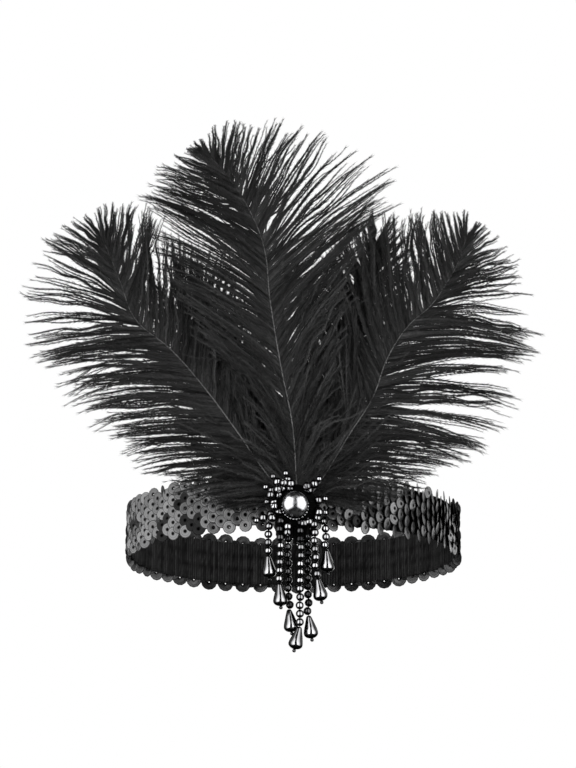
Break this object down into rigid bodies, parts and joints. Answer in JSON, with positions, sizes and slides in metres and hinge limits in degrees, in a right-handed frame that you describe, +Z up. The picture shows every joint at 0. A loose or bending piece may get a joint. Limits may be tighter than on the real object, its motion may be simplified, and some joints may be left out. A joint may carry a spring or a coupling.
{
  "type": "flapper feather headband",
  "caption": "Stretch sequin headband with ostrich plumes rising at the front and a beaded brooch that hangs strings of beads ending in drops.",
  "frame": {"origin": "middle of the band's loop at half its height, where the head goes", "axes": "+Z up towards the plumes' tips, -Y out of the front, +X to the right as seen from the front"},
  "size_m": [0.2447, 0.2034, 0.2662],
  "materials": {
    "elastic": "matte ribbed elastic",
    "sequin": "glossy black sequins",
    "feather": "soft black feather",
    "bead": "mirror-bright hematite coating",
    "drop": "mirror-bright hematite coating",
    "pearl": "mirror-bright silver coating"
  },
  "bodies": {
    "root": {"elastic_band": "elastic", "sequin_cover": "sequin", "plume_left": "feather", "plume_center": "feather", "plume_right": "feather", "back_plume_left": "feather", "back_plume_right": "feather", "beaded_brooch": "bead", "center_pearl": "pearl", "bead_string_1": "bead", "bead_string_2": "bead", "bead_string_3": "bead", "bead_string_4": "bead", "bead_string_5": "bead", "bead_string_6": "bead", "bead_string_7": "bead", "drop_bead_1": "drop", "drop_bead_2": "drop", "drop_bead_3": "drop", "drop_bead_4": "drop", "drop_bead_5": "drop", "drop_bead_6": "drop", "drop_bead_7": "drop"}
  },
  "joints": []
}
